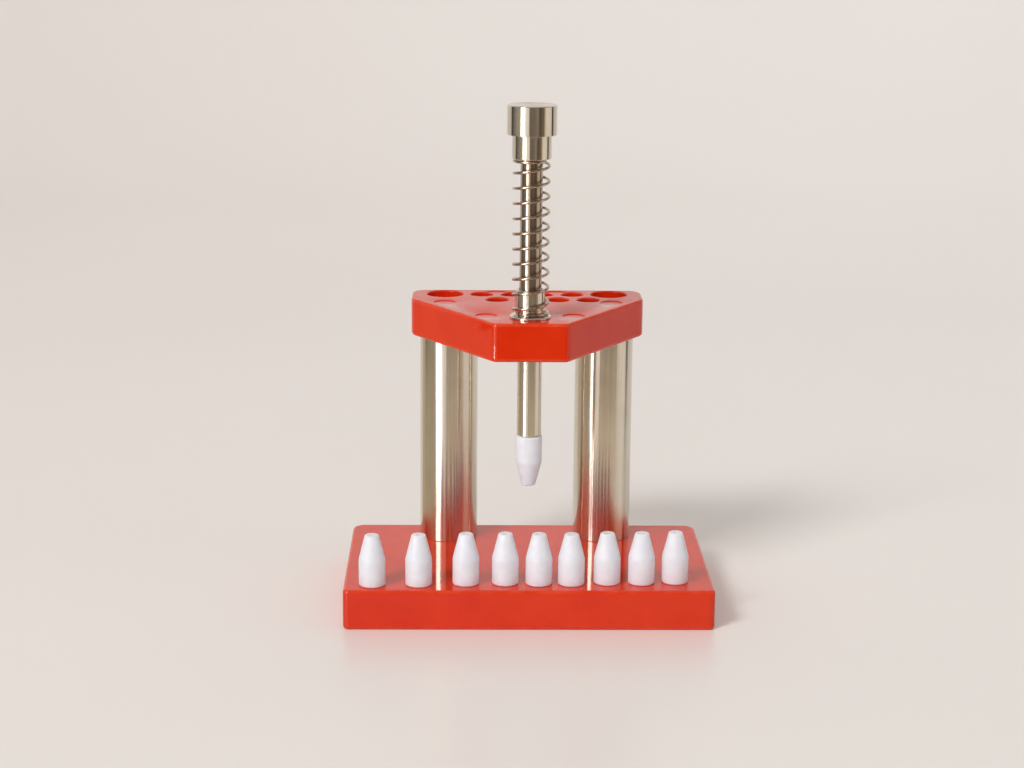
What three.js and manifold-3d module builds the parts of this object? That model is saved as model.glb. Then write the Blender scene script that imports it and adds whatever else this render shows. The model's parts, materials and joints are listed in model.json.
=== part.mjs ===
// Watch hand setting press: a hand-operated bench press with one sprung plunger.
// A heavy base plate carries two steel pillars, and the pillars carry a top plate that narrows
// towards the front. The plunger slides in a flanged bush in the top plate, a coil spring lifts it
// back, and a white nylon setting die is pushed onto its lower end. Nine more dies stand on the base.
// Millimetres, +Z up, origin at the middle of the base's underside, +Y towards the pillars.

import * as THREE from "three";
import { mergeVertices } from "three/addons/utils/BufferGeometryUtils.js";
import Module from "manifold-3d";

const wasm = await Module();
wasm.setup();

// ---------------------------------------------------------------- driving dimensions

const base = {
  width: 90.4,
  depth: 55,
  thickness: 10,
  frontCornerRadius: 1.5,
  backCornerRadius: 3.2,
  edge: 0.4,
};

const pillar = {
  x: 19.9,
  y: 19.1,
  radius: 7.4,
  chamfer: 0.4,
  footHoleDepth: 9,
  headHoleDepth: 9,
};

const topPlate = {
  underside: 64,
  thickness: 9.5,
  frontHalfWidth: 9,
  backHalfWidth: 29.5,
  frontY: -16,
  shoulderY: 15.5,
  backY: base.depth / 2,
  backCornerRadius: 4,
  shoulderRadius: 5,
  noseRadius: 1.4,
  edge: 0.4,
};
const topPlateTop = topPlate.underside + topPlate.thickness;

// Blind storage holes in the top plate: two wide ones, and two staggered rows of small ones.
const wideHole = { x: 21, y: 22, radius: 4.65, depth: 3.6 };
const smallHole = { radius: 2.9, depth: 6, pitch: 7.7, backY: 21.7, frontY: 14.5 };
const backRow = [-1.5, -0.5, 0.5, 1.5];
const frontRow = [-1, 0, 1, 2];

// Six faint round recesses left by the casting of the top plate, in mirrored pairs.
const castMark = { radius: 2.9, depth: 0.25 };
const castMarkPlaces = [
  { x: 21, y: 10.7 },
  { x: 10.7, y: -6.2 },
  { x: 7.65, y: 23.6 },
];

// M5 threads are plain cylinders, each in a hole that clears it.
const thread = { radius: 2.5, holeRadius: 2.6, chamfer: 0.4 };
const capScrew = { headRadius: 4.25, headHeight: 5, hexAcrossFlats: 4, hexDepth: 2.5 };
const counterbore = { radius: 4.7, depth: 5.4, throatRadius: 2.75 };
const stud = { intoPillar: 8, intoPlate: 4.3, holeDepth: 4.6 };

const plungerY = -8;
const bush = {
  boreRadius: 2.77,
  spigotRadius: 3.9,
  plateHoleRadius: 4,
  flangeRadius: 5.1,
  flangeHeight: 0.7,
  radius: 3.65,
  height: 7,
  grooveRadius: 3.4,
  grooveAt: 2.2,
  grooveWidth: 0.45,
  chamfer: 0.3,
};

const knob = {
  collarBottom: 112.3,
  collarRadius: 4.75,
  capBottom: 118.1,
  capRadius: 6,
  top: 125.2,
  chamfer: 0.2,
  boreRadius: 2.1,
  boreDepth: 8.6,
};

const rod = {
  upperRadius: 2.7,
  lowerRadius: 2.95,
  stopClearance: 0.05,
  lowerEnd: 43.9,
  tenonRadius: 2,
  tenonLength: 8.1,
  spigotRadius: 1.5,
  spigotLength: 4,
  chamfer: 0.3,
};

const spring = {
  wireRadius: 0.35,
  coilRadius: 4.25,
  endTurns: 0.6,
  activeTurns: 10,
  endPitch: 0.3,
  startAngle: -0.625 * Math.PI,
  seatGap: 0.05,
};

const die = {
  radius: 3.25,
  bodyHeight: 6.5,
  length: 12.6,
  tipRadius: 1.75,
  edge: 0.25,
  boreRadius: 1.6,
  boreDepth: 4.5,
  tipBoreRadius: 0.4,
  tipBoreDepth: 1.5,
};

// The nine spare dies stand nose up in one loose row along the front of the base.
const spareDiePlaces = [
  [-38.2, -22.6],
  [-26.9, -22.2],
  [-15.4, -21.4],
  [-5.8, -21.1],
  [2.4, -21.4],
  [10.3, -21.4],
  [19.1, -20.5],
  [27.5, -20.5],
  [35.8, -19.7],
];

// ---------------------------------------------------------------- materials

const paint = (color, roughness) =>
  new THREE.MeshStandardMaterial({ color, roughness, metalness: 0 });
const metal = (color, roughness) =>
  new THREE.MeshStandardMaterial({ color, roughness, metalness: 1 });

const redEnamel = () => paint(0xd8301c, 0.25);
const polishedSteel = () => metal(0xcfc8bc, 0.15);
const springSteel = () => metal(0xb9b1a6, 0.3);
const screwSteel = () => metal(0x6f6d6a, 0.4);
const whiteNylon = () => paint(0xf1ecf6, 0.45);

// ---------------------------------------------------------------- geometry helpers

const roundSides = { large: 36, medium: 24, small: 16 };

function solidOf(geometry) {
  const plain = geometry.clone();
  plain.deleteAttribute("normal");
  plain.deleteAttribute("uv");
  const merged = mergeVertices(plain, 1e-4);
  return new wasm.Manifold(
    new wasm.Mesh({
      numProp: 3,
      vertProperties: merged.attributes.position.array,
      triVerts: new Uint32Array(merged.index.array),
    }),
  );
}

function geometryOf(solid) {
  const mesh = solid.getMesh();
  const geometry = new THREE.BufferGeometry();
  geometry.setAttribute("position", new THREE.BufferAttribute(mesh.vertProperties, 3));
  geometry.setIndex(new THREE.BufferAttribute(mesh.triVerts, 1));
  const flat = geometry.toNonIndexed();
  flat.computeVertexNormals();
  return flat;
}

// A body of revolution about Z from [radius, height] pairs that run from the bottom upwards.
function turned(profile, sides) {
  const points = profile.map(([radius, height]) => new THREE.Vector2(radius, height));
  return new THREE.LatheGeometry(points, sides).rotateX(Math.PI / 2);
}

// A plain round bar standing on height z, used as a cutter.
function bar(x, y, z, radius, height, sides = roundSides.medium) {
  return solidOf(
    new THREE.CylinderGeometry(radius, radius, height, sides)
      .rotateX(Math.PI / 2)
      .translate(x, y, z + height / 2),
  );
}

// Extrudes an outline upwards with rolled edges. The outline is the full width of the slab.
function slab(outline, thickness, edge) {
  return new THREE.ExtrudeGeometry(outline, {
    depth: thickness - 2 * edge,
    bevelEnabled: true,
    bevelThickness: edge,
    bevelSize: edge,
    bevelOffset: -edge,
    bevelSegments: 2,
    curveSegments: 5,
  }).translate(0, 0, edge);
}

// A closed outline through the corners [x, y, radius], each rounded to its radius.
function roundedOutline(corners) {
  const shape = new THREE.Shape();
  corners.forEach(([x, y, radius], i) => {
    const before = corners[(i + corners.length - 1) % corners.length];
    const after = corners[(i + 1) % corners.length];
    const corner = new THREE.Vector2(x, y);
    const back = new THREE.Vector2(before[0], before[1]).sub(corner).normalize();
    const ahead = new THREE.Vector2(after[0], after[1]).sub(corner).normalize();
    const halfAngle = Math.acos(back.dot(ahead)) / 2;
    const run = radius / Math.tan(halfAngle);
    const start = corner.clone().addScaledVector(back, run);
    const end = corner.clone().addScaledVector(ahead, run);
    if (i === 0) shape.moveTo(start.x, start.y);
    else shape.lineTo(start.x, start.y);
    shape.quadraticCurveTo(corner.x, corner.y, end.x, end.y);
  });
  shape.closePath();
  return shape;
}

function placed(name, geometry, material, x = 0, y = 0, z = 0) {
  const mesh = new THREE.Mesh(geometry, material);
  mesh.name = name;
  mesh.position.set(x, y, z);
  return mesh;
}

const bothSides = [
  { side: "left", sign: -1 },
  { side: "right", sign: 1 },
];

// ---------------------------------------------------------------- frame

function basePlate() {
  const w = base.width / 2;
  const d = base.depth / 2;
  const front = base.frontCornerRadius;
  const back = base.backCornerRadius;
  const outline = roundedOutline([
    [-w, -d, front],
    [w, -d, front],
    [w, d, back],
    [-w, d, back],
  ]);
  let solid = solidOf(slab(outline, base.thickness, base.edge));
  for (const { sign } of bothSides) {
    const x = sign * pillar.x;
    solid = solid
      .subtract(bar(x, pillar.y, -1, counterbore.radius, counterbore.depth + 1))
      .subtract(bar(x, pillar.y, -1, counterbore.throatRadius, base.thickness + 2));
  }
  return geometryOf(solid);
}

// A round steel pillar with a tapped hole in each end, standing on z = 0.
function pillarBar() {
  const height = topPlate.underside - base.thickness;
  const r = pillar.radius;
  const c = pillar.chamfer;
  const hole = thread.holeRadius;
  return turned(
    [
      [0, pillar.footHoleDepth],
      [hole, pillar.footHoleDepth],
      [hole, 0],
      [r - c, 0],
      [r, c],
      [r, height - c],
      [r - c, height],
      [hole, height],
      [hole, height - pillar.headHoleDepth],
      [0, height - pillar.headHoleDepth],
    ],
    roundSides.large,
  );
}

// A socket-head cap screw that points up, with the underside of its head on z = 0.
function capScrewBody(shankLength) {
  const head = capScrew.headRadius;
  const c = thread.chamfer;
  const body = solidOf(
    turned(
      [
        [0, -capScrew.headHeight],
        [head - c, -capScrew.headHeight],
        [head, c - capScrew.headHeight],
        [head, 0],
        [thread.radius, 0],
        [thread.radius, shankLength - c],
        [thread.radius - c, shankLength],
        [0, shankLength],
      ],
      roundSides.medium,
    ),
  );
  const hexRadius = capScrew.hexAcrossFlats / Math.sqrt(3);
  const hexBottom = -capScrew.headHeight - 1;
  const hexHeight = capScrew.hexDepth + 1;
  return geometryOf(body.subtract(bar(0, 0, hexBottom, hexRadius, hexHeight, 6)));
}

// A headless stud with chamfered ends, standing on z = 0.
function studBar() {
  const length = stud.intoPillar + stud.intoPlate;
  const r = thread.radius;
  const c = thread.chamfer;
  return turned(
    [
      [0, 0],
      [r - c, 0],
      [r, c],
      [r, length - c],
      [r - c, length],
      [0, length],
    ],
    roundSides.small,
  );
}

function topPlateOutline() {
  const { frontHalfWidth, backHalfWidth, frontY, shoulderY, backY } = topPlate;
  const corner = topPlate.backCornerRadius;
  const shoulder = topPlate.shoulderRadius;
  const nose = topPlate.noseRadius;
  return roundedOutline([
    [-frontHalfWidth, frontY, nose],
    [frontHalfWidth, frontY, nose],
    [backHalfWidth, shoulderY, shoulder],
    [backHalfWidth, backY, corner],
    [-backHalfWidth, backY, corner],
    [-backHalfWidth, shoulderY, shoulder],
  ]);
}

function topPlateBody() {
  const cutFromTop = (x, y, radius, depth) =>
    bar(x, y, topPlate.thickness - depth, radius, depth + 1);
  let solid = solidOf(slab(topPlateOutline(), topPlate.thickness, topPlate.edge));
  for (const { sign } of bothSides) {
    solid = solid
      .subtract(cutFromTop(sign * wideHole.x, wideHole.y, wideHole.radius, wideHole.depth))
      .subtract(bar(sign * pillar.x, pillar.y, -1, thread.holeRadius, stud.holeDepth + 1));
    for (const { x, y } of castMarkPlaces) {
      solid = solid.subtract(cutFromTop(sign * x, y, castMark.radius, castMark.depth));
    }
  }
  const rows = [
    [backRow, smallHole.backY],
    [frontRow, smallHole.frontY],
  ];
  for (const [steps, y] of rows) {
    for (const step of steps) {
      const x = step * smallHole.pitch;
      solid = solid.subtract(cutFromTop(x, y, smallHole.radius, smallHole.depth));
    }
  }
  const bushHole = bar(0, plungerY, -1, bush.plateHoleRadius, topPlate.thickness + 2);
  return geometryOf(solid.subtract(bushHole));
}

// The flanged guide bush, with the underside of its flange on z = 0.
function guideBush() {
  const { boreRadius, spigotRadius, flangeRadius, flangeHeight, radius, height } = bush;
  const { grooveRadius, grooveAt, grooveWidth, chamfer } = bush;
  return turned(
    [
      [boreRadius, -topPlate.thickness],
      [spigotRadius, -topPlate.thickness],
      [spigotRadius, 0],
      [flangeRadius, 0],
      [flangeRadius, flangeHeight - chamfer],
      [flangeRadius - chamfer, flangeHeight],
      [radius, flangeHeight],
      [radius, grooveAt],
      [grooveRadius, grooveAt],
      [grooveRadius, grooveAt + grooveWidth],
      [radius, grooveAt + grooveWidth],
      [radius, height - chamfer],
      [radius - chamfer, height],
      [boreRadius, height],
      [boreRadius, -topPlate.thickness],
    ],
    roundSides.medium,
  );
}

// ---------------------------------------------------------------- plunger

// The rod is stepped: its thicker lower half stops against the bush's lower end.
function plungerRod() {
  const shoulder = topPlate.underside - rod.stopClearance;
  const { upperRadius, lowerRadius, lowerEnd, tenonRadius, spigotRadius, chamfer } = rod;
  const spigotEnd = lowerEnd - rod.spigotLength;
  const tenonEnd = knob.collarBottom + rod.tenonLength;
  return turned(
    [
      [0, spigotEnd],
      [spigotRadius - chamfer, spigotEnd],
      [spigotRadius, spigotEnd + chamfer],
      [spigotRadius, lowerEnd],
      [lowerRadius - chamfer, lowerEnd],
      [lowerRadius, lowerEnd + chamfer],
      [lowerRadius, shoulder],
      [upperRadius, shoulder],
      [upperRadius, knob.collarBottom],
      [tenonRadius, knob.collarBottom],
      [tenonRadius, tenonEnd - chamfer],
      [tenonRadius - chamfer, tenonEnd],
      [0, tenonEnd],
    ],
    roundSides.medium,
  );
}

// The stepped push knob, screwed onto the rod. Its collar is the spring's upper seat.
function pushKnob() {
  const { collarBottom, collarRadius, capBottom, capRadius, top, chamfer } = knob;
  const { boreRadius, boreDepth } = knob;
  return turned(
    [
      [0, collarBottom + boreDepth],
      [boreRadius, collarBottom + boreDepth],
      [boreRadius, collarBottom],
      [collarRadius - chamfer, collarBottom],
      [collarRadius, collarBottom + chamfer],
      [collarRadius, capBottom],
      [capRadius - chamfer, capBottom],
      [capRadius, capBottom + chamfer],
      [capRadius, top - chamfer],
      [capRadius - chamfer, top],
      [0, top],
    ],
    roundSides.large,
  );
}

// The centre line of a coil spring with closed ends: the pitch is small in the end turns.
class SpringLine extends THREE.Curve {
  constructor(height) {
    super();
    this.turns = spring.activeTurns + 2 * spring.endTurns;
    this.endRise = spring.endTurns * spring.endPitch;
    this.activePitch = (height - 2 * this.endRise) / spring.activeTurns;
    this.height = height;
  }

  getPoint(t, target = new THREE.Vector3()) {
    const turn = t * this.turns;
    const fromEnd = this.turns - turn;
    let z = this.endRise + (turn - spring.endTurns) * this.activePitch;
    if (turn < spring.endTurns) z = turn * spring.endPitch;
    if (fromEnd < spring.endTurns) z = this.height - fromEnd * spring.endPitch;
    const angle = spring.startAngle + 2 * Math.PI * turn;
    const r = spring.coilRadius;
    return target.set(r * Math.cos(angle), r * Math.sin(angle), z);
  }
}

// The return spring, between the bush's flange and the knob's collar.
function returnSpring() {
  const seat = topPlateTop + bush.flangeHeight + spring.wireRadius + spring.seatGap;
  const roof = knob.collarBottom - spring.wireRadius - spring.seatGap;
  const line = new SpringLine(roof - seat);
  const wire = new THREE.Shape();
  wire.absarc(0, 0, spring.wireRadius, 0, 2 * Math.PI);
  const stepsPerTurn = 16;
  return new THREE.ExtrudeGeometry(wire, {
    steps: Math.round(line.turns * stepsPerTurn),
    curveSegments: 3,
    extrudePath: line,
    bevelEnabled: false,
  }).translate(0, 0, seat);
}

// ---------------------------------------------------------------- dies

// A setting die that stands on z = 0 with its nose up. The wide end has a bore for the rod's
// spigot, and the nose has a small bore that clears the watch's hand post.
function settingDie() {
  const { radius, bodyHeight, length, tipRadius, edge } = die;
  const { boreRadius, boreDepth, tipBoreRadius, tipBoreDepth } = die;
  return turned(
    [
      [0, boreDepth],
      [boreRadius, boreDepth],
      [boreRadius, 0],
      [radius - edge, 0],
      [radius, edge],
      [radius, bodyHeight],
      [tipRadius, length - edge],
      [tipRadius - edge, length],
      [tipBoreRadius, length],
      [tipBoreRadius, length - tipBoreDepth],
      [0, length - tipBoreDepth],
    ],
    roundSides.small,
  );
}

// ---------------------------------------------------------------- assembly

const press = new THREE.Group();

const frame = new THREE.Group();
frame.add(placed("base_plate", basePlate(), redEnamel()));
frame.add(placed("top_plate", topPlateBody(), redEnamel(), 0, 0, topPlate.underside));
frame.add(placed("guide_bush", guideBush(), polishedSteel(), 0, plungerY, topPlateTop));
for (const { side, sign } of bothSides) {
  const x = sign * pillar.x;
  const y = pillar.y;
  const screwSeat = counterbore.depth;
  const screwLength = base.thickness - counterbore.depth + pillar.footHoleDepth - 1;
  const studFoot = topPlate.underside - stud.intoPillar;
  frame.add(
    placed("pillar_" + side, pillarBar(), polishedSteel(), x, y, base.thickness),
    placed("base_screw_" + side, capScrewBody(screwLength), screwSteel(), x, y, screwSeat),
    placed("top_stud_" + side, studBar(), screwSteel(), x, y, studFoot),
  );
}
press.add(frame);

const plunger = new THREE.Group();
plunger.position.set(0, plungerY, 0);
const plungerDie = placed("plunger_die", settingDie(), whiteNylon(), 0, 0, rod.lowerEnd);
plungerDie.rotation.x = Math.PI;
plunger.add(
  placed("plunger_rod", plungerRod(), polishedSteel()),
  placed("push_knob", pushKnob(), polishedSteel()),
  placed("return_spring", returnSpring(), springSteel()),
  plungerDie,
);
press.add(plunger);

spareDiePlaces.forEach(([x, y], i) => {
  press.add(placed("spare_die_" + (i + 1), settingDie(), whiteNylon(), x, y, base.thickness));
});

export default press;
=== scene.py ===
"""Watch hand setting press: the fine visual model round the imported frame.

Each CAD node gets one detailed mesh piece, built in code: two enamelled plates with rolled edges,
turned and polished steel, a wound return spring, threaded fasteners and ten nylon setting dies.
Everything is in metres, in the frame of the CAD model.
"""

import json
from math import acos, cos, hypot, pi, radians, sin, tan

import bpy
from mathutils import Matrix, Vector, geometry


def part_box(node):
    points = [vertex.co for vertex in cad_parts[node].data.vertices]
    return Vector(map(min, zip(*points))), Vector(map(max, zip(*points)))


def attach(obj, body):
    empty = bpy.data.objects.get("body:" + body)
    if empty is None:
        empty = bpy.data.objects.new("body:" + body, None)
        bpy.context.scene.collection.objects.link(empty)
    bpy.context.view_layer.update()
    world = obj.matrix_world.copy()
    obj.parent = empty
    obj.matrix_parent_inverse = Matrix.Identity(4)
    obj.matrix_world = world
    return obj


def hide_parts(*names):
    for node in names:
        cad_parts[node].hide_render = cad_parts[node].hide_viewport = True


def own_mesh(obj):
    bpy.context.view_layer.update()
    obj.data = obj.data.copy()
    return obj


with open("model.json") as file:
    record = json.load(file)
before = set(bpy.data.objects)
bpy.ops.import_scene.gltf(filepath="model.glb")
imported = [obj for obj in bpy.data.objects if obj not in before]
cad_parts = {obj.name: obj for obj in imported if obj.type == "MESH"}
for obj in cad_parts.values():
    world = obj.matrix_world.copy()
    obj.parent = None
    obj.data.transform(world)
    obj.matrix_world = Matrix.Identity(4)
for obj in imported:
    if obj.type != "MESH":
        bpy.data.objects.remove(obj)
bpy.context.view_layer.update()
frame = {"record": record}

MM = 0.001

# ---------------------------------------------------------------- dimensions that the nodes don't give

# A plate's roll is how far its rolled edges reach in over the face, and along the side.
BASE = {"front_corner": 1.5 * MM, "back_corner": 3.2 * MM, "roll": (0.8 * MM, 0.8 * MM)}
COUNTERBORE = {"radius": 4.7 * MM, "depth": 5.4 * MM, "throat": 2.75 * MM, "rim": 0.3 * MM}
TOP_PLATE = {
    "front_half_width": 9 * MM,
    "shoulder_y": 15.5 * MM,
    "back_corner": 4 * MM,
    "shoulder": 5 * MM,
    "nose": 1.8 * MM,
    "roll": (0.5 * MM, 0.8 * MM),
}
WIDE_HOLE = {"radius": 4.65 * MM, "depth": 3.6 * MM, "rim": 0.3 * MM, "cone": 0.0}
SMALL_HOLE = {"radius": 2.9 * MM, "depth": 5.2 * MM, "rim": 0.35 * MM, "cone": 0.8 * MM}
HOLE_EDGE = 0.2 * MM
HOLE_SIDES = 64
CAST_MARK = {"radius": 2.9 * MM, "depth": 0.25 * MM, "slope": 0.25 * MM}
CAST_MARK_PLACES = [(21 * MM, 10.7 * MM), (10.7 * MM, -6.2 * MM), (7.65 * MM, 23.6 * MM)]
THREAD = {
    "hole": 2.6 * MM,
    "pitch": 0.8 * MM,
    "depth": 0.42 * MM,
    "end_chamfer": 0.4 * MM,
    "rings_per_turn": 8,
}
STUD_HOLE_DEPTH = 4.6 * MM
PILLAR = {"chamfer": 0.1 * MM, "edge": 0.04 * MM, "hole_depth": 9 * MM}
CAP_SCREW = {
    "head": 5 * MM,
    "shank": 2.5 * MM,
    "hex_flats": 4 * MM,
    "hex_depth": 2.5 * MM,
    "hex_cone": 0.6 * MM,
    "hex_edge": 0.15 * MM,
    "hex_flare": 1.17,
    "knurls": 48,
    "knurl_depth": 0.14 * MM,
}
BUSH = {
    "chamfer": 0.3 * MM,
    "edge": 0.1 * MM,
    "bore": 2.77 * MM,
    "spigot": 3.9 * MM,
    "plate_hole": 4 * MM,
    "flange_height": 0.7 * MM,
    "radius": 3.65 * MM,
    "groove_radius": 3.4 * MM,
    "groove_at": 2.2 * MM,
    "groove_width": 0.45 * MM,
}
KNOB = {
    "chamfer": 0.2 * MM,
    "edge": 0.08 * MM,
    "collar_radius": 4.75 * MM,
    "collar_height": 5.8 * MM,
    "bore": 2.1 * MM,
    "bore_depth": 8.6 * MM,
}
ROD = {
    "chamfer": 0.3 * MM,
    "edge": 0.08 * MM,
    "upper": 2.7 * MM,
    "tenon": 2 * MM,
    "spigot": 1.5 * MM,
    "spigot_length": 4 * MM,
    "stop_clearance": 0.05 * MM,
}
SPRING = {
    "wire": 0.35 * MM,
    "active_turns": 10,
    "end_turns": 0.6,
    "end_pitch": 0.3 * MM,
    "start_angle": -0.625 * pi,
}
DIE = {
    "body_height": 6.5 * MM,
    "tip": 1.75 * MM,
    "edge": 0.2 * MM,
    "shoulder": 4 * MM,
    "bore": 1.6 * MM,
    "bore_depth": 4.5 * MM,
    "bore_cone": 0.4 * MM,
    "bore_edge": 0.2 * MM,
    "tip_bore": 0.4 * MM,
    "tip_bore_depth": 1.5 * MM,
    "tip_bore_cone": 0.2 * MM,
    "tip_bore_edge": 0.1 * MM,
}

# ---------------------------------------------------------------- outlines and profiles


def smooth_step(t):
    """0 up to t = 0 and 1 from t = 1, with a soft rise between them."""
    t = max(0.0, min(1.0, t))
    return t * t * (3 - 2 * t)


def fillet(before, corner, after, radius, steps):
    """Points of an arc that rounds a corner, or the corner itself where the line hardly turns.

    The arc is smaller than its radius says where the lines beside the corner are short.
    """
    least_turn, share_of_line = radians(2), 0.49
    back, ahead = before - corner, after - corner
    room = share_of_line * min(back.length, ahead.length)
    back.normalize()
    ahead.normalize()
    opening = acos(max(-1.0, min(1.0, back.dot(ahead))))
    if pi - opening < least_turn or radius <= 0:
        return [corner]
    run = min(radius / tan(opening / 2), room)
    radius = run * tan(opening / 2)
    centre = corner + (back + ahead).normalized() * (radius / sin(opening / 2))
    start = corner + back * run - centre
    end = corner + ahead * run - centre
    turn = pi - opening
    points = []
    for i in range(steps + 1):
        t = i / steps
        arm = (start * sin((1 - t) * turn) + end * sin(t * turn)) / sin(turn)
        points.append(centre + arm)
    return points


def rounded_outline(corners, steps=12):
    """A closed outline, anticlockwise, through (x, y, radius) corners."""
    outline = []
    for i, (x, y, radius) in enumerate(corners):
        before = Vector(corners[i - 1][:2])
        after = Vector(corners[(i + 1) % len(corners)][:2])
        outline += fillet(before, Vector((x, y)), after, radius, steps)
    return outline


def inset(outline, distance):
    """The outline moved inwards by a distance smaller than its corner radii."""
    moved = []
    for i, point in enumerate(outline):
        ahead = (outline[(i + 1) % len(outline)] - point).normalized()
        behind = (point - outline[i - 1]).normalized()
        inward = Vector((-ahead.y - behind.y, ahead.x + behind.x)).normalized()
        slant = inward.dot(Vector((-ahead.y, ahead.x)))
        moved.append(point + inward * (distance / slant))
    return moved


def softened(profile, radius, steps=4):
    """A (radius, height) profile with each corner off the axis rounded."""
    points = [Vector(p) for p in profile]
    closed = points[0] == points[-1]
    soft = []
    for i, point in enumerate(points):
        is_end = i in (0, len(points) - 1)
        if is_end and not closed:
            soft.append(point)
        elif not is_end:
            soft += fillet(points[i - 1], point, points[i + 1], radius, steps)
    if closed:
        soft += fillet(points[-2], points[0], points[1], radius, steps)
        soft.append(soft[0])
    return [(p.x, p.y) for p in soft]


# ---------------------------------------------------------------- mesh building


class Shell:
    """Vertices and faces of one closed piece, with a mark from 0 to 1 on its rolled edges.

    A ring is the list of its vertices' numbers.
    """

    def __init__(self):
        self.vertices = []
        self.faces = []
        self.edge_marks = []
        self.known_normals = {}

    def ring(self, points, on_edge=0.0):
        first = len(self.vertices)
        self.vertices += [tuple(p) for p in points]
        self.edge_marks += [on_edge] * len(points)
        return list(range(first, len(self.vertices)))

    def join(self, lower, upper):
        """Quads between two rings of one length, or triangles to a single point."""
        count = max(len(lower), len(upper))
        for i in range(count):
            j = (i + 1) % count
            if len(upper) == 1:
                self.faces.append((lower[i], lower[j], upper[0]))
            elif len(lower) == 1:
                self.faces.append((lower[0], upper[j], upper[i]))
            else:
                self.faces.append((lower[i], lower[j], upper[j], upper[i]))

    def lathe(self, profile, x, y, sides, reach=None):
        """Rings round a vertical axis. reach(angle, z, radius) can change a ring's radius."""
        rings = []
        for radius, z in profile:
            if radius == 0:
                rings.append(self.ring([(x, y, z)]))
                continue
            points = []
            for i in range(sides):
                angle = 2 * pi * i / sides
                r = reach(angle, z, radius) if reach else radius
                points.append((x + r * cos(angle), y + r * sin(angle), z))
            rings.append(self.ring(points))
        for lower, upper in zip(rings, rings[1:]):
            self.join(lower, upper)
        return rings

    def cap(self, outer, holes, facing, free_points=()):
        """A flat face inside the ring outer, round the rings in holes, through the free (x, y) points.

        facing is +1 up or -1 down. Free points in or at a hole are left out.
        """
        gap = 0.02 * MM
        circles = [self.circle(hole) for hole in holes]
        level = self.vertices[outer[0]][2]
        clear = [p for p in free_points if all((p - at).length > r + gap for at, r in circles)]
        loops = [outer] + holes
        index = [i for loop in loops for i in loop]
        index += self.ring([(p.x, p.y, level) for p in clear])
        for i in index:
            self.known_normals[i] = Vector((0, 0, facing))
        flat_mm = [Vector(self.vertices[i][:2]) / MM for i in index]
        edges, first = [], 0
        for loop in loops:
            n = len(loop)
            edges += [(first + i, first + (i + 1) % n) for i in range(n)]
            first += n
        inside_outline, closest_mm = 1, 1e-5
        cut = geometry.delaunay_2d_cdt(flat_mm, edges, [], inside_outline, closest_mm)
        points, _, triangles, sources = cut[:4]
        for triangle in triangles:
            a, b, c = (points[i] for i in triangle)
            centre = (a + b + c) / 3 * MM
            if any((centre - at).length < r for at, r in circles):
                continue
            corners = [index[sources[i][0]] for i in triangle]
            turn = (b - a).cross(c - a)
            self.faces.append(tuple(corners if turn * facing > 0 else corners[::-1]))

    def circle(self, ring):
        """The centre and the radius of a round ring."""
        points = [Vector(self.vertices[i][:2]) for i in ring]
        centre = sum(points, Vector((0, 0))) / len(points)
        return centre, (points[0] - centre).length

    def lower(self, above, depth_at):
        """Lowers each vertex above a height by depth_at(x, y), and tilts its normal to suit."""
        step = 0.02 * MM
        for i, (x, y, z) in enumerate(self.vertices):
            if z > above:
                self.vertices[i] = (x, y, z - depth_at(x, y))
                slope_x = (depth_at(x + step, y) - depth_at(x - step, y)) / (2 * step)
                slope_y = (depth_at(x, y + step) - depth_at(x, y - step)) / (2 * step)
                if i in self.known_normals:
                    self.known_normals[i] = Vector((slope_x, slope_y, 1)).normalized()

    def normals(self):
        """Each vertex's normal: the known one, or the mean of its faces' normals by area."""
        sums = [Vector((0, 0, 0)) for _ in self.vertices]
        for face in self.faces:
            corners = [Vector(self.vertices[i]) for i in face]
            across = corners[2] - corners[0]
            area = across.cross(corners[-1] - corners[1])
            for i in face:
                sums[i] += area
        return [self.known_normals.get(i, total.normalized()) for i, total in enumerate(sums)]

    def mesh(self, name):
        mesh = bpy.data.meshes.new(name)
        mesh.from_pydata(self.vertices, [], self.faces)
        mark = mesh.attributes.new("rolled_edge", "FLOAT", "POINT")
        mark.data.foreach_set("value", self.edge_marks)
        mesh.shade_smooth()
        mesh.normals_split_custom_set_from_vertices(self.normals())
        return mesh


def piece(name, shell, node, body, material):
    """Turns a shell into a piece that stands for a CAD node and rides on its body."""
    made = bpy.data.objects.new(name, shell.mesh(name))
    bpy.context.scene.collection.objects.link(made)
    made.data.materials.append(material)
    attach(made, body)
    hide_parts(node)
    return made


def middle(node):
    low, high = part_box(node)
    return (low + high) / 2


def turned_piece(name, profile, node, body, material, edge, sides=96):
    """A piece turned about the vertical axis through the middle of its CAD node."""
    centre = middle(node)
    shell = Shell()
    shell.lathe(softened(profile, edge), centre.x, centre.y, sides)
    piece(name, shell, node, body, material)


# ---------------------------------------------------------------- materials


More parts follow.
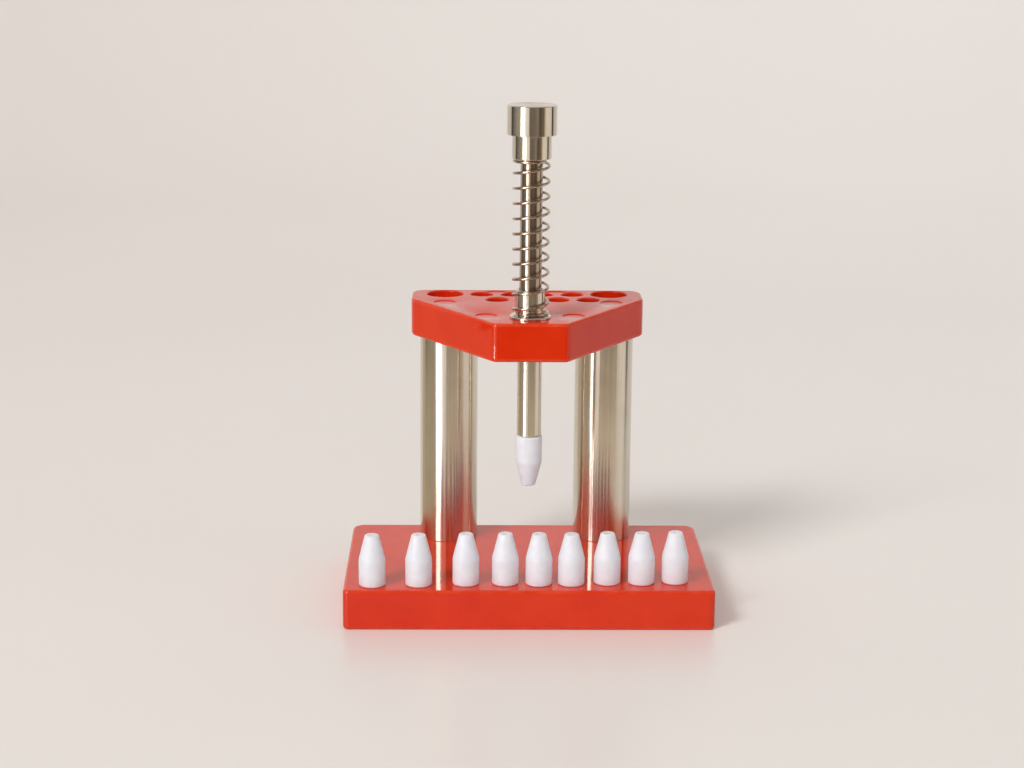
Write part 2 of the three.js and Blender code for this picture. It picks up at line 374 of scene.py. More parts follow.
class Finish:
    """A Principled material with short calls for the nodes that the finishes share."""

    def __init__(self, name, **sockets):
        self.material = bpy.data.materials.new(name)
        self.material.use_nodes = True
        self.nodes = self.material.node_tree.nodes
        self.links = self.material.node_tree.links
        self.shader = self.nodes["Principled BSDF"]
        self.place = self.nodes.new("ShaderNodeTexCoord").outputs["Object"]
        for socket, value in sockets.items():
            self.shader.inputs[socket.replace("_", " ")].default_value = value

    def stretched(self, x, y, z):
        """The object's coordinates, scaled on each axis."""
        node = self.nodes.new("ShaderNodeMapping")
        node.inputs["Scale"].default_value = (x, y, z)
        self.links.new(self.place, node.inputs["Vector"])
        return node.outputs["Vector"]

    def noise(self, scale, detail=2.0, place=None):
        """Noise with features of about 1 / scale metres."""
        node = self.nodes.new("ShaderNodeTexNoise")
        node.inputs["Scale"].default_value = scale
        node.inputs["Detail"].default_value = detail
        self.links.new(place or self.place, node.inputs["Vector"])
        return node.outputs["Fac"]

    def along(self, axis):
        """The object's coordinate on one axis."""
        node = self.nodes.new("ShaderNodeSeparateXYZ")
        self.links.new(self.place, node.inputs["Vector"])
        return node.outputs[axis]

    def attribute(self, name):
        node = self.nodes.new("ShaderNodeAttribute")
        node.attribute_name = name
        return node.outputs["Fac"]

    def span(self, source, low, high, to_low, to_high):
        """source from low..high mapped to to_low..to_high, held at the ends."""
        node = self.nodes.new("ShaderNodeMapRange")
        values = (low, high, to_low, to_high)
        for socket, value in zip(("From Min", "From Max", "To Min", "To Max"), values):
            node.inputs[socket].default_value = value
        self.links.new(source, node.inputs["Value"])
        return node.outputs["Result"]

    def product(self, a, b):
        node = self.nodes.new("ShaderNodeMath")
        node.operation = "MULTIPLY"
        self.links.new(a, node.inputs[0])
        self.links.new(b, node.inputs[1])
        return node.outputs["Value"]

    def blend(self, share, a, b):
        """Colour a where share is 0 and b where it is 1. Each is a colour or an output."""
        node = self.nodes.new("ShaderNodeMix")
        node.data_type = "RGBA"
        self.links.new(share, node.inputs["Factor"])
        # A Mix node has an A, a B and a Result for each type. These are the ones for colours.
        socket_a, socket_b, result = node.inputs[6], node.inputs[7], node.outputs[2]
        for socket, colour in ((socket_a, a), (socket_b, b)):
            if isinstance(colour, tuple):
                socket.default_value = (*colour, 1.0)
            else:
                self.links.new(colour, socket)
        return result

    def bump(self, height, distance, after=None):
        """Surface relief that is distance metres high, on top of an earlier bump."""
        node = self.nodes.new("ShaderNodeBump")
        node.inputs["Distance"].default_value = distance
        self.links.new(height, node.inputs["Height"])
        if after:
            self.links.new(after, node.inputs["Normal"])
        return node.outputs["Normal"]

    def set(self, socket, source):
        self.links.new(source, self.shader.inputs[socket])


def red_enamel():
    """Glossy baked enamel: orange-peel relief, cloudy colour, tiny chips on edges, and edges painted
    lighter orange, partly for thin paint and partly as a painted highlight.
    """
    f = Finish(
        "red_enamel",
        Roughness=0.5,
        Specular_IOR_Level=0.0,
        Coat_Weight=1.0,
        Coat_Roughness=0.04,
        Coat_IOR=1.43,
    )
    cloud = f.span(f.noise(110, 3), 0.35, 0.65, 0, 1)
    body = f.blend(cloud, (0.65, 0.024, 0.003), (0.69, 0.032, 0.005))
    grain = f.span(f.noise(2600, 3), 0.4, 0.62, 0, 0.12)
    body = f.blend(grain, body, (0.80, 0.05, 0.016))
    edge = f.attribute("rolled_edge")
    # Painted highlight: the rolled edges are painted a lighter orange, partly for thinner paint and
    # partly to stand in for the light lines along them.
    thin_paint_and_edge_highlight = f.product(edge, f.span(f.noise(260, 3), 0.4, 0.7, 0.1, 0.35))
    body = f.blend(thin_paint_and_edge_highlight, body, (0.90, 0.13, 0.05))
    chipped = f.product(edge, f.span(f.noise(1300, 2), 0.72, 0.75, 0, 1))
    f.set("Base Color", f.blend(chipped, body, (0.30, 0.20, 0.17)))
    f.set("Roughness", f.span(f.noise(700, 3), 0.3, 0.7, 0.42, 0.6))
    peel = f.bump(f.noise(480, 1.5), 0.006 * MM)
    f.set("Normal", f.bump(f.noise(2400, 2), 0.0012 * MM, peel))
    f.links.new(peel, f.shader.inputs["Coat Normal"])
    return f.material


def polished_steel(name, oil_and_shade_above=None):
    """Nickel-plated bar: fine marks along its length, fainter turning rings, soft smudges.

    The second argument is the height above which the bar is painted dark brown: partly a thin film of
    oil, partly painted shade from the spring that wraps it.
    """
    f = Finish(name, Metallic=1.0, Anisotropic=1.0, Anisotropic_Rotation=0.25)
    tangent = f.nodes.new("ShaderNodeTangent")
    tangent.axis = "Z"
    f.links.new(tangent.outputs["Tangent"], f.shader.inputs["Tangent"])
    drawn = f.noise(1, 3, f.stretched(3200, 3200, 26))
    smudge = f.noise(120, 4)
    tint = f.blend(f.span(drawn, 0.3, 0.7, 0, 1), (0.66, 0.60, 0.50), (0.76, 0.71, 0.62))
    colour = f.blend(f.span(smudge, 0.45, 0.75, 0, 0.4), tint, (0.62, 0.55, 0.45))
    # Painted shade: above the plate the bar is painted dark brown, partly for an oil film and partly
    # for the shade of the spring round it.
    if oil_and_shade_above:
        oil_and_shade_edge = 2 * MM
        oil_and_shade = f.span(f.along("Z"), oil_and_shade_above, oil_and_shade_above + oil_and_shade_edge, 0, 0.6)
        colour = f.blend(f.product(oil_and_shade, f.span(smudge, 0.3, 0.6, 0.8, 1)), colour, (0.28, 0.18, 0.12))
    f.set("Base Color", colour)
    f.set("Roughness", f.span(smudge, 0.3, 0.75, 0.15, 0.19))
    rings = f.noise(1, 2, f.stretched(60, 60, 9000))
    along = f.bump(drawn, 0.0005 * MM)
    f.set("Normal", f.bump(rings, 0.0004 * MM, along))
    return f.material


def spring_steel():
    """Bright drawn wire with small dark drawing marks."""
    f = Finish("spring_steel", Metallic=1.0, Anisotropic=0.3)
    marks = f.noise(2600, 3)
    f.set("Base Color", f.blend(f.span(marks, 0.4, 0.7, 0, 1), (0.62, 0.53, 0.44), (0.30, 0.22, 0.17)))
    f.set("Roughness", f.span(marks, 0.3, 0.7, 0.12, 0.22))
    f.set("Normal", f.bump(marks, 0.0015 * MM))
    return f.material


def screw_steel():
    """Oiled black-oxide steel, rubbed brighter in places."""
    f = Finish("screw_steel", Metallic=1.0)
    rub = f.span(f.noise(900, 4), 0.45, 0.7, 0, 1)
    f.set("Base Color", f.blend(rub, (0.05, 0.048, 0.045), (0.22, 0.21, 0.20)))
    f.set("Roughness", f.span(f.noise(1800, 3), 0.3, 0.7, 0.3, 0.5))
    f.set("Normal", f.bump(f.noise(3000, 2), 0.003 * MM))
    return f.material


def white_nylon():
    """Turned white nylon: slightly cool, lets a little light through, fine turning rings."""
    f = Finish(
        "white_nylon",
        Roughness=0.42,
        Subsurface_Weight=0.5,
        Subsurface_Radius=(1.0, 0.97, 1.0),
        Subsurface_Scale=1.2 * MM,
    )
    milk = f.span(f.noise(500, 3), 0.35, 0.65, 0, 1)
    tone = f.blend(milk, (0.78, 0.79, 0.86), (0.82, 0.83, 0.89))
    speck = f.span(f.noise(2600, 2), 0.66, 0.74, 0, 0.2)
    f.set("Base Color", f.blend(speck, tone, (0.62, 0.56, 0.58)))
    f.set("Roughness", f.span(f.noise(900, 3), 0.3, 0.7, 0.36, 0.5))
    rings = f.bump(f.noise(1, 2, f.stretched(120, 120, 7000)), 0.003 * MM)
    f.set("Normal", f.bump(f.noise(1800, 2), 0.002 * MM, rings))
    return f.material


def table_with_painted_light():
    """Pale, softly glossy table, painted paler towards the back and the right as painted light that
    brightens the wall and the right side.
    """
    f = Finish("pale_table")
    # Painted light: the colour gets paler towards the right and the back, standing in for light
    # falling on the wall and the right of the table.
    across = f.span(f.along("X"), -0.3, 0.3, 0, 1)
    near = f.blend(across, (0.80, 0.768, 0.74), (0.92, 0.895, 0.87))
    far = f.blend(across, (0.87, 0.83, 0.80), (0.97, 0.94, 0.92))
    pale = f.blend(f.span(f.along("Y"), -0.05, 0.25, 0, 1), near, far)
    f.set("Base Color", f.blend(f.span(f.noise(4, 1), 0.3, 0.7, 0, 0.12), pale, (0.80, 0.75, 0.71)))
    f.set("Roughness", f.span(f.noise(12, 1), 0, 1, 0.285, 0.33))
    return f.material


# ---------------------------------------------------------------- plates


def quarter_roll(z_flat, z_side, reach_in, steps=6):
    """(inset, z, mark) steps of a rolled edge, from the side to the flat face."""
    rolled = []
    for i in range(steps + 1):
        angle = pi / 2 * i / steps
        z = z_side + (z_flat - z_side) * sin(angle)
        rolled.append((reach_in * (1 - cos(angle)), z, 1.0 if 0 < i < steps else 0.0))
    return rolled


def hole_profile(hole, z_face):
    """(radius, z) of a blind hole from its rim on the face down to its middle."""
    radius, rim, floor = hole["radius"], hole["rim"], z_face - hole["depth"]
    return [
        (radius + rim, z_face),
        (radius, z_face - rim),
        (radius, floor),
        (0.0, floor - hole["cone"]),
    ]


def plate_shell(outline, low, high, roll, upper_holes, lower_holes, through_holes, marks=()):
    """A slab with rolled edges. A hole is (x, y, profile) with the profile running downwards."""
    shell = Shell()
    reach_in, reach_along = roll
    down = list(reversed(quarter_roll(low, low + reach_along, reach_in)))
    up = quarter_roll(high, high - reach_along, reach_in)
    rings = []
    for distance, z, mark in down + up:
        points = [(p.x, p.y, z) for p in inset(outline, distance)]
        rings.append(shell.ring(points, mark))
    for lower, upper in zip(rings, rings[1:]):
        shell.join(lower, upper)

    def cut(x, y, profile):
        return shell.lathe(softened(profile, HOLE_EDGE)[::-1], x, y, HOLE_SIDES)

    side_faces = len(shell.faces)
    upper_rims = [cut(*hole)[-1] for hole in upper_holes]
    lower_rims = [cut(*hole)[0] for hole in lower_holes]
    for hole in through_holes:
        walls = cut(*hole)
        lower_rims.append(walls[0])
        upper_rims.append(walls[-1])
    turn_inside_out(shell, side_faces)
    shell.cap(rings[-1], upper_rims, 1, mark_points(marks))
    shell.cap(rings[0], lower_rims, -1)
    return shell


def mark_points(marks):
    """Rings of points over the sloping rim of each round casting mark."""
    steps, sides = 5, 60
    points = []
    for x, y in marks:
        for step in range(steps + 1):
            radius = CAST_MARK["radius"] - CAST_MARK["slope"] * step / steps
            for i in range(sides):
                angle = 2 * pi * (i + step / 2) / sides
                points.append(Vector((x + radius * cos(angle), y + radius * sin(angle))))
    return points


def mark_depth(marks):
    """How far the face lies below its level at (x, y), inside the casting marks."""

    def depth_at(x, y):
        nearest = min(hypot(x - mx, y - my) for mx, my in marks)
        return CAST_MARK["depth"] * smooth_step((CAST_MARK["radius"] - nearest) / CAST_MARK["slope"])

    return depth_at


def turn_inside_out(shell, first):
    """Turns round every face from number first on, because a hole's walls face its axis."""
    shell.faces[first:] = [tuple(reversed(face)) for face in shell.faces[first:]]


def base_plate(material):
    low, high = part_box("base_plate")
    front, back = BASE["front_corner"], BASE["back_corner"]
    outline = rounded_outline(
        [
            (low.x, low.y, front),
            (high.x, low.y, front),
            (high.x, high.y, back),
            (low.x, high.y, back),
        ]
    )
    bore, rim, throat = COUNTERBORE["radius"], COUNTERBORE["rim"], COUNTERBORE["throat"]
    ledge = low.z + COUNTERBORE["depth"]
    through = []
    for side in ("left", "right"):
        at = middle("base_screw_" + side)
        profile = [
            (throat, high.z),
            (throat, ledge),
            (bore, ledge),
            (bore, low.z + rim),
            (bore + rim, low.z),
        ]
        through.append((at.x, at.y, profile))
    shell = plate_shell(outline, low.z, high.z, BASE["roll"], [], [], through)
    piece("base_plate_casting", shell, "base_plate", "frame", material)


def top_plate(material):
    low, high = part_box("top_plate")
    front, shoulder_y = TOP_PLATE["front_half_width"], TOP_PLATE["shoulder_y"]
    nose, shoulder, corner = TOP_PLATE["nose"], TOP_PLATE["shoulder"], TOP_PLATE["back_corner"]
    outline = rounded_outline(
        [
            (-front, low.y, nose),
            (front, low.y, nose),
            (high.x, shoulder_y, shoulder),
            (high.x, high.y, corner),
            (low.x, high.y, corner),
            (low.x, shoulder_y, shoulder),
        ]
    )
    upper = []
    for opening in frame["record"]["physics"]["openings"]:
        near, far = opening["box_m"]
        x, y = (near[0] + far[0]) / 2, (near[1] + far[1]) / 2
        if opening["name"].startswith("wide_hole"):
            upper.append((x, y, hole_profile(WIDE_HOLE, high.z)))
        elif opening["name"].startswith("small_hole"):
            upper.append((x, y, hole_profile(SMALL_HOLE, high.z)))
    marks = [(side * x, y) for x, y in CAST_MARK_PLACES for side in (-1, 1)]
    lower, top = [], low.z + STUD_HOLE_DEPTH
    for side in ("left", "right"):
        at = middle("top_stud_" + side)
        hole = [(0.0, top), (THREAD["hole"], top), (THREAD["hole"], low.z)]
        lower.append((at.x, at.y, hole))
    bush = middle("guide_bush")
    bore = [(BUSH["plate_hole"], high.z), (BUSH["plate_hole"], low.z)]
    through = [(bush.x, bush.y, bore)]
    shell = plate_shell(outline, low.z, high.z, TOP_PLATE["roll"], upper, lower, through, marks)
    shell.lower(high.z - 0.5 * CAST_MARK["depth"], mark_depth(marks))
    piece("top_plate_casting", shell, "top_plate", "frame", material)


# ---------------------------------------------------------------- turned steel


def pillar(side, material):
    node = "pillar_" + side
    low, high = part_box(node)
    r, c = (high.x - low.x) / 2, PILLAR["chamfer"]
    hole, depth = THREAD["hole"], PILLAR["hole_depth"]
    profile = [
        (0, low.z + depth),
        (hole, low.z + depth),
        (hole, low.z),
        (r - c, low.z),
        (r, low.z + c),
        (r, high.z - c),
        (r - c, high.z),
        (hole, high.z),
        (hole, high.z - depth),
        (0, high.z - depth),
    ]
    name, edge = "steel_pillar_" + side, PILLAR["edge"]
    turned_piece(name, profile, node, "frame", material, edge, sides=160)


def guide_bush(material):
    low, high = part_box("guide_bush")
    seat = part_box("top_plate")[1].z
    flange = (high.x - low.x) / 2
    bore, spigot, radius = BUSH["bore"], BUSH["spigot"], BUSH["radius"]
    flange_top = seat + BUSH["flange_height"]
    groove, groove_low = BUSH["groove_radius"], seat + BUSH["groove_at"]
    groove_high = groove_low + BUSH["groove_width"]
    c = BUSH["chamfer"]
    profile = [
        (bore, low.z),
        (spigot, low.z),
        (spigot, seat),
        (flange, seat),
        (flange, flange_top - c),
        (flange - c, flange_top),
        (radius, flange_top),
        (radius, groove_low),
        (groove, groove_low),
        (groove, groove_high),
        (radius, groove_high),
        (radius, high.z - c),
        (radius - c, high.z),
        (bore + c, high.z),
        (bore, high.z - c),
        (bore, low.z),
    ]
    name, edge = "flanged_guide_bush", BUSH["edge"]
    turned_piece(name, profile, "guide_bush", "frame", material, edge)


def plunger_rod():
    low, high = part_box("plunger_rod")
    r = (high.x - low.x) / 2
    upper, tenon, spigot = ROD["upper"], ROD["tenon"], ROD["spigot"]
    lower_end = low.z + ROD["spigot_length"]
    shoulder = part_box("top_plate")[0].z - ROD["stop_clearance"]
    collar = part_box("push_knob")[0].z
    c = ROD["chamfer"]
    profile = [
        (0, low.z),
        (spigot - c, low.z),
        (spigot, low.z + c),
        (spigot, lower_end),
        (r - c, lower_end),
        (r, lower_end + c),
        (r, shoulder),
        (upper, shoulder),
        (upper, collar),
        (tenon, collar),
        (tenon, high.z - c),
        (tenon - c, high.z),
        (0, high.z),
    ]
    oiled_and_shaded = polished_steel("oiled_and_shaded_steel", oil_and_shade_above=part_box("top_plate")[1].z)
    name, edge = "plunger_shaft", ROD["edge"]
    turned_piece(name, profile, "plunger_rod", "plunger", oiled_and_shaded, edge)


def push_knob(material):
    low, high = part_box("push_knob")
    cap = (high.x - low.x) / 2
    collar, cap_low = KNOB["collar_radius"], low.z + KNOB["collar_height"]
    bore, bore_top = KNOB["bore"], low.z + KNOB["bore_depth"]
    c = KNOB["chamfer"]
    profile = [
        (0, bore_top),
        (bore, bore_top),
        (bore, low.z),
        (collar - c, low.z),
        (collar, low.z + c),
        (collar, cap_low),
        (cap, cap_low),
        (cap, high.z - c),
        (cap - c, high.z),
        (0, high.z),
    ]
    name, edge = "stepped_push_knob", KNOB["edge"]
    turned_piece(name, profile, "push_knob", "plunger", material, edge, sides=128)


# ---------------------------------------------------------------- fasteners


def thread_reach(low, high, crest):
    """A helical thread between two heights, on rings of the crest radius."""

    def reach(angle, z, radius):
        if not low <= z <= high or radius < crest:
            return radius
        phase = (z / THREAD["pitch"] - angle / (2 * pi)) % 1.0
        run_out = min(1.0, (z - low) / THREAD["pitch"], (high - z) / THREAD["pitch"])
        return radius - THREAD["depth"] * run_out * abs(2 * phase - 1)

    return reach


def threaded_rings(low, high, radius):
    """Profile points close enough to carry a thread."""
    count = round((high - low) / THREAD["pitch"] * THREAD["rings_per_turn"])
    return [(radius, low + (high - low) * i / count) for i in range(count + 1)]


def top_stud(side, material):
    node = "top_stud_" + side
    low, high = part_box(node)
    centre = middle(node)
    r, c, sides = (high.x - low.x) / 2, THREAD["end_chamfer"], 48
    profile = [(0, low.z), (r - c, low.z)]
    profile += threaded_rings(low.z + c, high.z - c, r)
    profile += [(r - c, high.z), (0, high.z)]
    shell = Shell()
    shell.lathe(profile, centre.x, centre.y, sides, thread_reach(low.z + c, high.z - c, r))
    piece("threaded_" + node, shell, node, "frame", material)


def cap_screw(side, material):
    """A socket-head cap screw that points up, with a knurled head and a hexagon socket.

    The head's outer rim has two bevels, and the rim under the head has one.
    """
    node = "base_screw_" + side
    low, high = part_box(node)
    centre = middle(node)
    head, shank, c = (high.x - low.x) / 2, CAP_SCREW["shank"], THREAD["end_chamfer"]
    under_head = low.z + CAP_SCREW["head"]
    socket = CAP_SCREW["hex_flats"] / 2
    socket_top = low.z + CAP_SCREW["hex_depth"]
    thread = thread_reach(under_head + c, high.z - c, shank)
    sides = 192

    def reach(angle, z, radius):
        if radius == socket:
            return socket / cos((angle + pi / 6) % (pi / 3) - pi / 6)
        if radius == head:
            return radius - CAP_SCREW["knurl_depth"] * (1 + cos(CAP_SCREW["knurls"] * angle)) / 2
        return thread(angle, z, radius)

    profile = [
        (0, socket_top + CAP_SCREW["hex_cone"]),
        (socket, socket_top),
        (socket, low.z + CAP_SCREW["hex_edge"]),
        (socket * CAP_SCREW["hex_flare"], low.z),
        (head - c, low.z),
        (head - 0.25 * c, low.z + 0.6 * c),
        (head, low.z + c),
        (head, under_head - 0.5 * c),
        (head - 0.375 * c, under_head),
        (shank, under_head),
        *threaded_rings(under_head + c, high.z - c, shank),
        (shank - c, high.z),
        (0, high.z),
    ]
    shell = Shell()
    shell.lathe(profile, centre.x, centre.y, sides, reach)
    piece("cap_screw_" + side, shell, node, "frame", material)


# ---------------------------------------------------------------- return spring


def return_spring(material):
    """A wound coil of round wire with closed ends."""
    low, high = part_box("return_spring")
    centre = middle("return_spring")
    wire = SPRING["wire"]
    coil = (high.x - low.x) / 2 - wire
    turns = SPRING["active_turns"] + 2 * SPRING["end_turns"]
    seat, roof = low.z + wire, high.z - wire
    end_rise = SPRING["end_turns"] * SPRING["end_pitch"]
    active_pitch = (roof - seat - 2 * end_rise) / SPRING["active_turns"]
    steps_per_turn, wire_sides = 56, 16
    steps = round(turns * steps_per_turn)
    just_by = 0.01

    def point(turn):
        z = seat + end_rise + (turn - SPRING["end_turns"]) * active_pitch
        from_end = turns - turn
        if turn < SPRING["end_turns"]:
            z = seat + turn * SPRING["end_pitch"]
        if from_end < SPRING["end_turns"]:
            z = roof - from_end * SPRING["end_pitch"]
        angle = SPRING["start_angle"] + 2 * pi * turn
        return Vector((centre.x + coil * cos(angle), centre.y + coil * sin(angle), z))

    shell = Shell()
    rings = []
    for i in range(steps + 1):
        turn = turns * i / steps
        here = point(turn)
        ahead, behind = point(min(turns, turn + just_by)), point(max(0, turn - just_by))
        outward = Vector((here.x - centre.x, here.y - centre.y, 0)).normalized()
        upward = outward.cross((ahead - behind).normalized()).normalized()
        if upward.z < 0:
            upward.negate()
        ring = []
        for k in range(wire_sides):
            angle = 2 * pi * k / wire_sides
            ring.append(here + wire * (outward * cos(angle) + upward * sin(angle)))
        rings.append(shell.ring(ring))
    for lower, upper in zip(rings, rings[1:]):
        shell.join(upper, lower)
    shell.join(rings[0], shell.ring([point(0)]))
    shell.join(rings[-1][::-1], shell.ring([point(turns)]))
    made = piece(
        "wound_return_spring", shell, "return_spring", "spring_swivel", material
    )
    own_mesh(made)


# ---------------------------------------------------------------- dies


def setting_die(name, node, body, material, nose_up):
    """A nylon die with a bore for the plunger's spigot and a small bore in its nose."""
    low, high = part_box(node)
    foot, way = (low.z, 1) if nose_up else (high.z, -1)
    length, r = high.z - low.z, (high.x - low.x) / 2
    edge, tip = DIE["edge"], DIE["tip"]
    body_end, cone_end = Vector((r, DIE["body_height"])), Vector((tip, length - edge))
    shoulder = fillet(Vector((r, edge)), body_end, cone_end, DIE["shoulder"], 6)
    bore, bore_edge = DIE["bore"], DIE["bore_edge"]
    tip_bore, tip_bore_edge = DIE["tip_bore"], DIE["tip_bore_edge"]
    tip_bore_floor = length - DIE["tip_bore_depth"]
    profile = [
        (0, DIE["bore_depth"] + DIE["bore_cone"]),
        (bore, DIE["bore_depth"]),
        (bore, bore_edge),
        (bore + bore_edge, 0),
        (r - edge, 0),
        (r, edge),
        *shoulder,
        cone_end,
        (tip - edge, length),
        (tip_bore + tip_bore_edge, length),
        (tip_bore, length - tip_bore_edge),
        (tip_bore, tip_bore_floor),
        (0, tip_bore_floor - DIE["tip_bore_cone"]),
    ]
    placed = [(radius, foot + way * z) for radius, z in profile]
    if way < 0:
        placed.reverse()
    turned_piece(name, placed, node, body, material, edge, sides=72)


# ---------------------------------------------------------------- stage, light and camera


def stage_object(name, vertices, faces, material):
    mesh = bpy.data.meshes.new(name)
    mesh.from_pydata(vertices, [], faces)
    mesh.shade_smooth()
    made = bpy.data.objects.new(name, mesh)
    bpy.context.scene.collection.objects.link(made)
    made.data.materials.append(material)
    return made


def strip(pairs):
    """Vertices and faces of a strip that runs from each pair of points to the next."""
    vertices = [point for pair in pairs for point in pair]
    faces = [(2 * i, 2 * i + 1, 2 * i + 3, 2 * i + 2) for i in range(len(pairs) - 1)]
    return vertices, faces


def around(azimuth, distance, height):
    """A place round the press. Azimuth is in degrees to the right of the front."""
    angle = radians(azimuth)
    return distance * sin(angle), -distance * cos(angle), height


def sweep():
    """The table runs back and curves up into a pale wall."""
    half_width, front, back, height, bend = 3.0, -3.0, 1.15, 2.4, 0.5
    steps = 24
    profile = [(front, 0.0), (back - bend, 0.0)]
    for i in range(1, steps + 1):
        angle = pi / 2 * i / steps
        profile.append((back - bend + bend * sin(angle), bend * (1 - cos(angle))))
    profile.append((back, height))
    vertices, faces = strip([((-half_width, y, z), (half_width, y, z)) for y, z in profile])
    stage_object("pale_sweep", vertices, faces, table_with_painted_light())


def glow(name, colour, strength):
    """Emission seen from the front of a face only."""
    material = bpy.data.materials.new(name)
    material.use_nodes = True
    nodes, links = material.node_tree.nodes, material.node_tree.links
    nodes.remove(nodes["Principled BSDF"])
    emission = nodes.new("ShaderNodeEmission")
    emission.inputs["Color"].default_value = (*colour, 1.0)
    emission.inputs["Strength"].default_value = strength
    clear = nodes.new("ShaderNodeBsdfTransparent")
    facing = nodes.new("ShaderNodeNewGeometry")
    mix = nodes.new("ShaderNodeMixShader")
    links.new(facing.outputs["Backfacing"], mix.inputs["Fac"])
    links.new(emission.outputs["Emission"], mix.inputs[1])
    links.new(clear.outputs["BSDF"], mix.inputs[2])
    links.new(mix.outputs["Shader"], nodes["Material Output"].inputs["Surface"])
    material.cycles.emission_sampling = "NONE"
    return material


def reflected_card(name, pairs, colour, strength):
    """A glowing strip that is seen in reflections only."""
    vertices, faces = strip(pairs)
    made = stage_object(name, vertices, faces, glow(name, colour, strength))
    made.visible_camera = False
    made.visible_diffuse = False
    made.visible_shadow = False
    made.visible_transmission = False
    made.visible_volume_scatter = False


def azimuths(start, end, steps=16):
    return [start + (end - start) * i / steps for i in range(steps + 1)]


def upright_card(name, start, end, radius, top, colour, strength=1.0):
    """A curved card that stands on the table, from one azimuth to another."""
    pairs = [(around(at, radius, 0.0), around(at, radius, top)) for at in azimuths(start, end)]
    reflected_card(name, pairs, colour, strength)


def floor_card(name, start, end, near, far, colour, strength=1.0):
    """A flat sector just over the table, which shows from above only."""
    height = 0.3 * MM
    pairs = [(around(at, near, height), around(at, far, height)) for at in azimuths(start, end)]
    reflected_card(name, pairs, colour, strength)


def area_light(name, place, towards, size, power, colour, in_gloss=True):
    """A rectangular light at one place that faces another."""
    light = bpy.data.lights.new(name, "AREA")
    light.shape = "RECTANGLE"
    light.size, light.size_y = size
    light.energy = power
    light.color = colour
    made = bpy.data.objects.new(name, light)
    bpy.context.scene.collection.objects.link(made)
    made.location = place
    facing = Vector(towards) - made.location
    made.rotation_euler = facing.to_track_quat("-Z", "Y").to_euler()
    made.visible_glossy = in_gloss


def lighting():
    world = bpy.data.worlds.new("pale_room")
    bpy.context.scene.world = world
    world.use_nodes = True
    sky = world.node_tree.nodes["Background"]
    sky.inputs["Color"].default_value = (0.80, 0.765, 0.74, 1.0)
    sky.inputs["Strength"].default_value = 0.48
    press_foot, press_middle = (0, 0, 0.05), (0, 0, 0.06)
    neutral, warm = (1.0, 0.985, 0.96), (1.0, 0.97, 0.94)
    area_light("key", around(-43, 1.8, 1.6), press_foot, (0.65, 0.65), 31.0, neutral)
    area_light("fill", around(-4, 1.1, 0.45), press_middle, (1.0, 0.5), 2.0, warm, in_gloss=False)
    area_light("side_fill", around(75, 1.2, 0.7), press_middle, (0.8, 0.8), 0.9, warm, in_gloss=False)
    # The last light hangs behind the press. It brightens the wall, and more to the right.
    wall_colour, light_place, wall_place = (1.0, 0.98, 0.955), (0.5, 0.5, 0.5), (0.5, 1.5, 0.25)
    area_light("wall_wash", light_place, wall_place, (1.6, 0.2), 0.8, wall_colour)


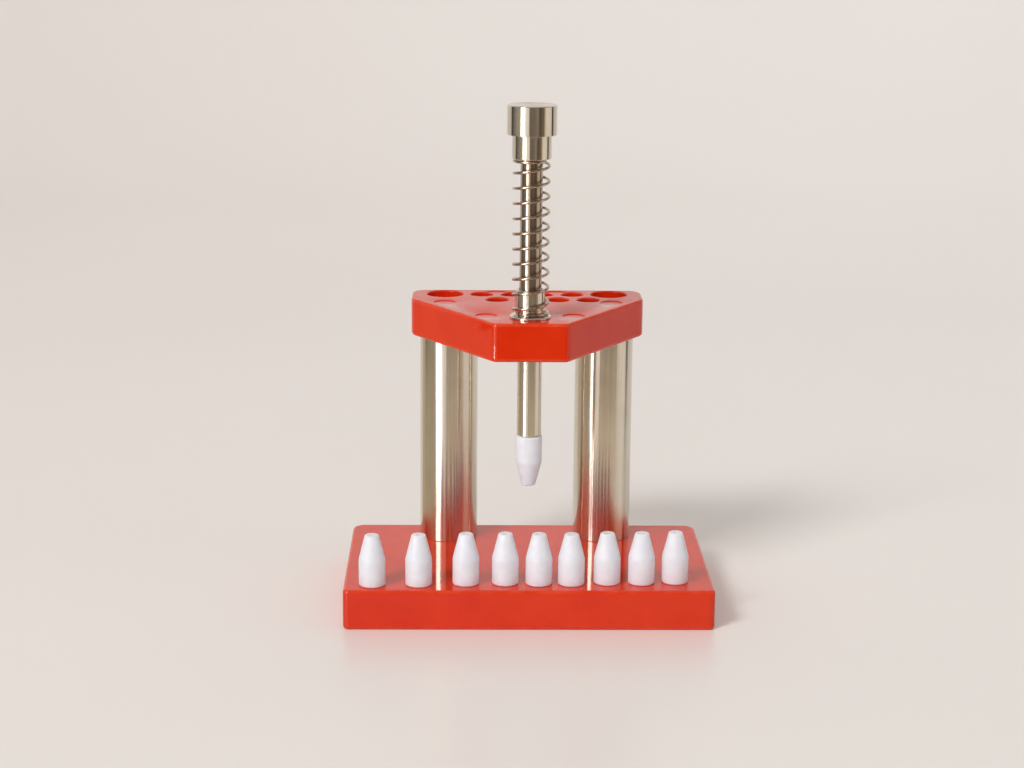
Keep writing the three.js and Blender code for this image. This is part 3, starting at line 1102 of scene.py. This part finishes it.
def reflected_room():
    """Cards that stand in for the room and the lit table that the steel and the enamel reflect.

    An upright card has its azimuths, radius, top and colour. A floor card has its azimuths, near
    radius, far radius and colour.
    """
    upright = [
        ("left_far", -112, -96, 0.8, 0.7, (0.05, 0.045, 0.04)),
        ("left_dim", -96, -80, 0.8, 0.7, (0.22, 0.20, 0.18)),
        ("left_near", -80, -55, 0.8, 0.7, (0.42, 0.38, 0.32)),
        ("curtain", -36, -15, 0.8, 0.9, (0.97, 0.88, 0.79)),
        ("front_low", -15, 41, 0.27, 0.056, (0.045, 0.028, 0.02)),
        ("front_left", -15, 14, 0.28, 0.5, (0.19, 0.155, 0.125)),
        ("front_pale", 14, 28, 0.28, 0.5, (0.28, 0.235, 0.19)),
        ("front_dark", 28, 41, 0.28, 0.5, (0.09, 0.08, 0.06)),
        ("front_right", 41, 55, 0.28, 0.5, (0.16, 0.12, 0.08)),
        ("warm_streak", 55, 62, 0.6, 0.6, (0.60, 0.40, 0.22)),
        ("pale_streak", 62, 95, 0.6, 0.6, (0.88, 0.80, 0.70)),
        ("right_dark", 97, 109, 0.25, 0.5, (0.08, 0.055, 0.04)),
    ]
    flat = [
        ("front", -15, 60, 0.031, 0.27, (0.75, 0.64, 0.50)),
        ("left_edge", -130, -111, 0.065, 0.42, (0.55, 0.45, 0.30)),
        ("left", -111, -62, 0.065, 0.345, (0.49, 0.42, 0.31)),
        ("left_dark", -111, -62, 0.345, 0.48, (0.03, 0.02, 0.015)),
        ("left_far", -111, -95, 0.48, 0.7, (0.03, 0.028, 0.025)),
        ("left_middle", -95, -62, 0.48, 0.7, (0.20, 0.18, 0.15)),
    ]
    for name, start, end, radius, top, colour in upright:
        upright_card("room_" + name, start, end, radius, top, colour)
    for name, start, end, near, far, colour in flat:
        floor_card("table_" + name, start, end, near, far, colour)
    window = -54, -37
    upright_card("window", *window, 0.8, 0.9, (1.0, 0.98, 0.95), strength=8.0)
    floor_card("table_under_window", *window, 0.09, 0.27, (1.0, 0.96, 0.92), strength=2.5)
    floor_card("table_glint", *window, 0.27, 0.33, (1.0, 0.97, 0.93), strength=14.0)


def camera():
    """A 76 mm lens about 54 cm away, looking down a little, turned and rolled very slightly."""
    look_at, distance = Vector((-0.0041, 0, 0.0549)), 0.5406
    pitch, yaw, roll = radians(13.33), radians(1.26), radians(0.52)
    ahead = Vector((sin(yaw) * cos(pitch), cos(yaw) * cos(pitch), -sin(pitch)))
    right = Vector((cos(yaw), -sin(yaw), 0))
    up = right.cross(ahead)
    rolled_right = right * cos(roll) + up * sin(roll)
    rolled_up = up * cos(roll) - right * sin(roll)
    made = bpy.data.objects.new("camera", bpy.data.cameras.new("camera"))
    bpy.context.scene.collection.objects.link(made)
    made.data.lens = 76.3
    made.data.sensor_width = 36
    axes = Matrix((rolled_right, rolled_up, -ahead)).transposed().to_4x4()
    made.matrix_world = Matrix.Translation(look_at - ahead * distance) @ axes
    bpy.context.scene.camera = made


# ---------------------------------------------------------------- assembly


def build():
    enamel, steel = red_enamel(), polished_steel("polished_steel")
    wire, black, nylon = spring_steel(), screw_steel(), white_nylon()
    base_plate(enamel)
    top_plate(enamel)
    guide_bush(steel)
    for side in ("left", "right"):
        pillar(side, steel)
        cap_screw(side, black)
        top_stud(side, black)
    plunger_rod()
    push_knob(steel)
    return_spring(wire)
    setting_die("fitted_setting_die", "plunger_die", "tip_die", nylon, nose_up=False)
    for i in range(1, 10):
        node, body = f"spare_die_{i}", f"loose_spare_die_{i}"
        setting_die(f"spare_setting_die_{i}", node, body, nylon, nose_up=True)


camera()
sweep()
lighting()
reflected_room()
build()
bpy.context.scene.view_settings.view_transform = "Standard"
